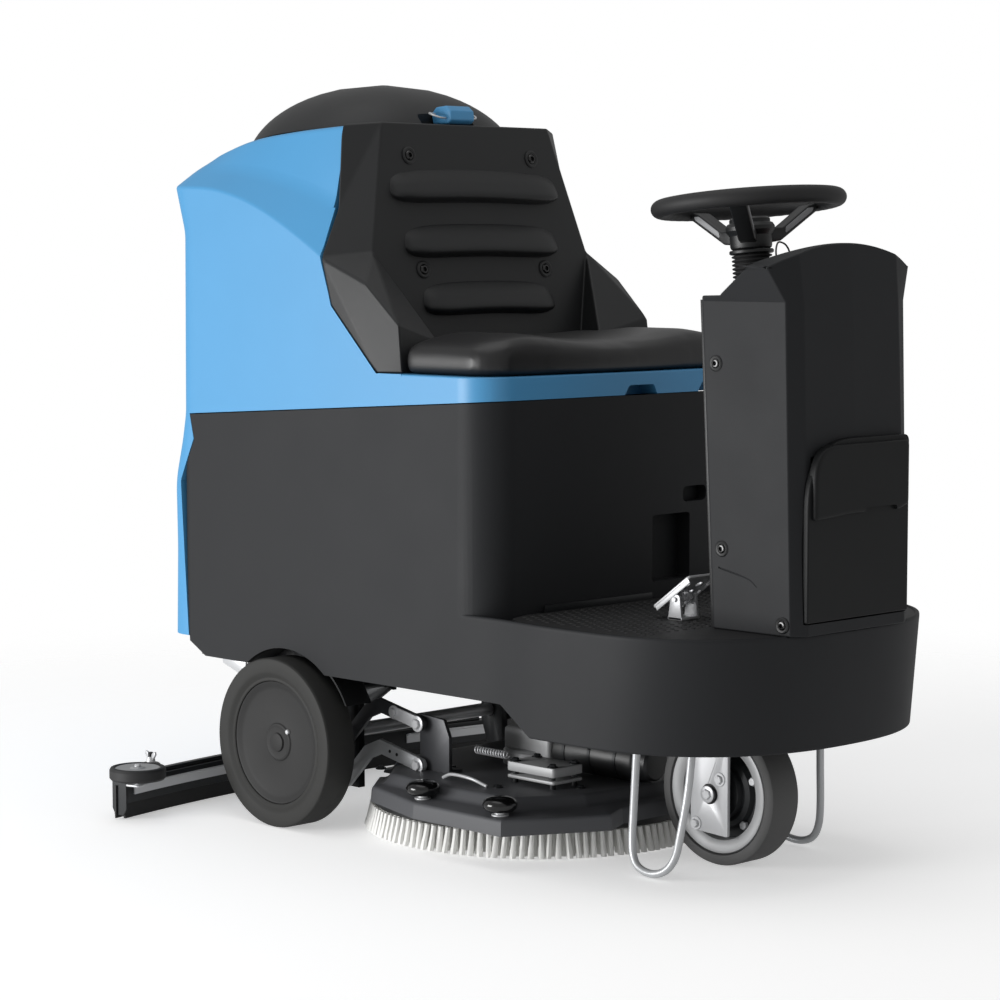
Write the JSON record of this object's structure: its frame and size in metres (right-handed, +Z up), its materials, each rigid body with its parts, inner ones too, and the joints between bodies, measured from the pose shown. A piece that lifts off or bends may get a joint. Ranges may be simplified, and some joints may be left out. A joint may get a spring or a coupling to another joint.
{
  "type": "ride-on floor scrubber",
  "caption": "Ride-on floor scrubber dryer with a blue recovery tank, black seat, steered drive wheel, disc brush deck and trailing squeegee.",
  "frame": {"origin": "on the floor, under the middle of the bounding box", "axes": "+X forward (towards the nose and the steered wheel), +Y to the driver's left, +Z up"},
  "size_m": [1.3608, 1.078, 1.306],
  "materials": {
    "blue_tank": "moulded, satin",
    "dark_body": "moulded, satin",
    "seat_black": "moulded, fine grain",
    "cushion_black": "vinyl, satin",
    "trim_black": "satin",
    "rubber_black": "matt",
    "wheel_grey": "matt",
    "tyre_grey": "matt",
    "zinc": "zinc-plated",
    "steel_black": "black powder coat",
    "rod_grey": "light grey powder coat",
    "bristle_white": "nylon",
    "red_plastic": "glossy",
    "screen": "glossy"
  },
  "bodies": {
    "chassis": {"chassis_frame": "steel_black", "solution_tank": "dark_body", "footplate": "rubber_black", "front_column": "dark_body", "column_rear_panel": "trim_black", "dashboard": "trim_black", "display_screen": "screen", "steering_boot": "rubber_black", "steering_collar": "trim_black", "rear_axle": "zinc", "skid_loop_left": "rod_grey", "skid_loop_right": "rod_grey", "battery_left": "trim_black", "battery_right": "trim_black", "pedal_bracket": "zinc", "deck_actuator": "zinc", "steering_chain": "steel_black"},
    "rear_wheel_left": {"rear_tyre_left": "wheel_grey", "rear_hub_left": "wheel_grey"},
    "rear_wheel_right": {"rear_tyre_right": "wheel_grey", "rear_hub_right": "wheel_grey"},
    "steering": {"steering_wheel": "trim_black", "steering_shaft": "zinc"},
    "pinion": {"steering_pinion": "steel_black"},
    "fork": {"drive_fork": "zinc", "fork_sprocket": "steel_black"},
    "drive_wheel": {"drive_tyre": "tyre_grey", "drive_hub_motor": "zinc"},
    "upper_tank": {"recovery_tank": "blue_tank", "seat_shell": "seat_black", "seat_cushion": "cushion_black", "suction_motor": "trim_black", "float_cage": "trim_black"},
    "lid": {"tank_lid": "seat_black"},
    "lid_catch": {"lid_latch": "blue_tank"},
    "door": {"storage_door": "trim_black"},
    "pedal": {"accelerator_pedal": "zinc"},
    "key": {"key_switch": "zinc"},
    "stop_button": {"emergency_stop": "red_plastic"},
    "lower_links": {"lower_link_left": "steel_black", "lower_link_right": "steel_black"},
    "upper_links": {"upper_link_left": "steel_black", "upper_link_right": "steel_black"},
    "deck": {"deck_cover": "trim_black", "deck_knob_rear_left": "trim_black", "deck_knob_front_left": "trim_black", "deck_knob_rear_right": "trim_black", "deck_knob_front_right": "trim_black", "brush_motor": "trim_black"},
    "brush": {"brush_disc": "trim_black", "brush_bristles": "bristle_white"},
    "squeegee_lift_arm": {"squeegee_arm": "steel_black", "suction_hose": "rubber_black"},
    "squeegee": {"squeegee_frame": "trim_black", "squeegee_blade_front": "rubber_black", "squeegee_blade_rear": "rubber_black", "wing_knob_left": "zinc", "wing_knob_right": "zinc"},
    "roller_left": {"bumper_roller_left": "rubber_black"},
    "roller_right": {"bumper_roller_right": "rubber_black"}
  },
  "joints": [
    {"name": "rear_wheel_left_spin", "type": "hinge", "parent": "chassis", "child": "rear_wheel_left", "pos_m": [-0.3356, 0.324, 0.14906], "axis": [0, 1, 0], "continuous": true},
    {"name": "rear_wheel_right_spin", "type": "hinge", "parent": "chassis", "child": "rear_wheel_right", "pos_m": [-0.3356, -0.324, 0.14906], "axis": [0, 1, 0], "continuous": true},
    {"name": "steering_turn", "type": "hinge", "parent": "chassis", "child": "steering", "pos_m": [0.4514, 0, 0.975], "axis": [-0.0958, 0, 0.9954], "range_deg": [-150, 150]},
    {"name": "pinion_turn", "type": "hinge", "parent": "chassis", "child": "pinion", "pos_m": [0.5104, 0, 0.376], "axis": [0, 0, 1], "range_deg": [-150, 150]},
    {"name": "fork_turn", "type": "hinge", "parent": "chassis", "child": "fork", "pos_m": [0.4114, 0, 0.3], "axis": [0, 0, 1], "range_deg": [-75, 75]},
    {"name": "drive_wheel_spin", "type": "hinge", "parent": "fork", "child": "drive_wheel", "pos_m": [0.4114, 0, 0.12024], "axis": [0, 1, 0], "continuous": true},
    {"name": "upper_tank_tip", "type": "hinge", "parent": "chassis", "child": "upper_tank", "pos_m": [-0.6256, 0, 0.3], "axis": [0, -1, 0], "range_deg": [0, 45]},
    {"name": "lid_open", "type": "hinge", "parent": "upper_tank", "child": "lid", "pos_m": [-0.6256, 0, 1.176], "axis": [0, -1, 0], "range_deg": [0, 70]},
    {"name": "lid_catch_flip", "type": "hinge", "parent": "lid", "child": "lid_catch", "pos_m": [-0.2696, 0, 1.254], "axis": [0, -1, 0], "range_deg": [0, 70]},
    {"name": "door_open", "type": "hinge", "parent": "chassis", "child": "door", "pos_m": [0.6744, 0, 0.432], "axis": [0, 1, 0], "range_deg": [0, 80]},
    {"name": "pedal_press", "type": "hinge", "parent": "chassis", "child": "pedal", "pos_m": [0.3934, -0.086, 0.446], "axis": [0, 1, 0], "range_deg": [0, 12], "stiffness_Nm_per_rad": 4, "springref_deg": -17.19},
    {"name": "key_turn", "type": "hinge", "parent": "chassis", "child": "key", "pos_m": [0.54348, -0.076, 0.95862], "axis": [-0.5603, 0, 0.8283], "range_deg": [0, 90]},
    {"name": "stop_press", "type": "slide", "parent": "chassis", "child": "stop_button", "axis": [0.5603, 0, -0.8283], "range_m": [0, 0.004]},
    {"name": "deck_lift", "type": "hinge", "parent": "chassis", "child": "lower_links", "pos_m": [-0.3136, 0, 0.067], "axis": [0, -1, 0], "range_deg": [0, 11]},
    {"name": "upper_link_swing", "type": "hinge", "parent": "chassis", "child": "upper_links", "pos_m": [-0.3136, 0, 0.14], "axis": [0, -1, 0], "range_deg": [0, 11]},
    {"name": "deck_level", "type": "hinge", "parent": "lower_links", "child": "deck", "pos_m": [-0.1226, 0, 0.118], "axis": [0, -1, 0], "range_deg": [-11, 0]},
    {"name": "brush_spin", "type": "hinge", "parent": "deck", "child": "brush", "pos_m": [-0.0336, 0, 0.06], "axis": [0, 0, 1], "continuous": true},
    {"name": "squeegee_lift", "type": "hinge", "parent": "chassis", "child": "squeegee_lift_arm", "pos_m": [-0.4856, 0, 0.196], "axis": [0, 1, 0], "range_deg": [0, 15], "deforming": ["suction_hose"]},
    {"name": "squeegee_swing", "type": "hinge", "parent": "squeegee_lift_arm", "child": "squeegee", "pos_m": [-0.5936, 0, 0.09], "axis": [0, 0, 1], "range_deg": [-12, 12]},
    {"name": "roller_left_spin", "type": "hinge", "parent": "squeegee", "child": "roller_left", "pos_m": [-0.5476, 0.489, 0.085], "axis": [0, 0, 1], "continuous": true},
    {"name": "roller_right_spin", "type": "hinge", "parent": "squeegee", "child": "roller_right", "pos_m": [-0.5476, -0.489, 0.085], "axis": [0, 0, 1], "continuous": true}
  ],
  "couplings": [
    {"joint": "fork_turn", "follows": "steering_turn", "ratio": 0.5},
    {"joint": "pinion_turn", "follows": "steering_turn", "ratio": 1},
    {"joint": "upper_link_swing", "follows": "deck_lift", "ratio": 1},
    {"joint": "deck_level", "follows": "deck_lift", "ratio": -1}
  ]
}
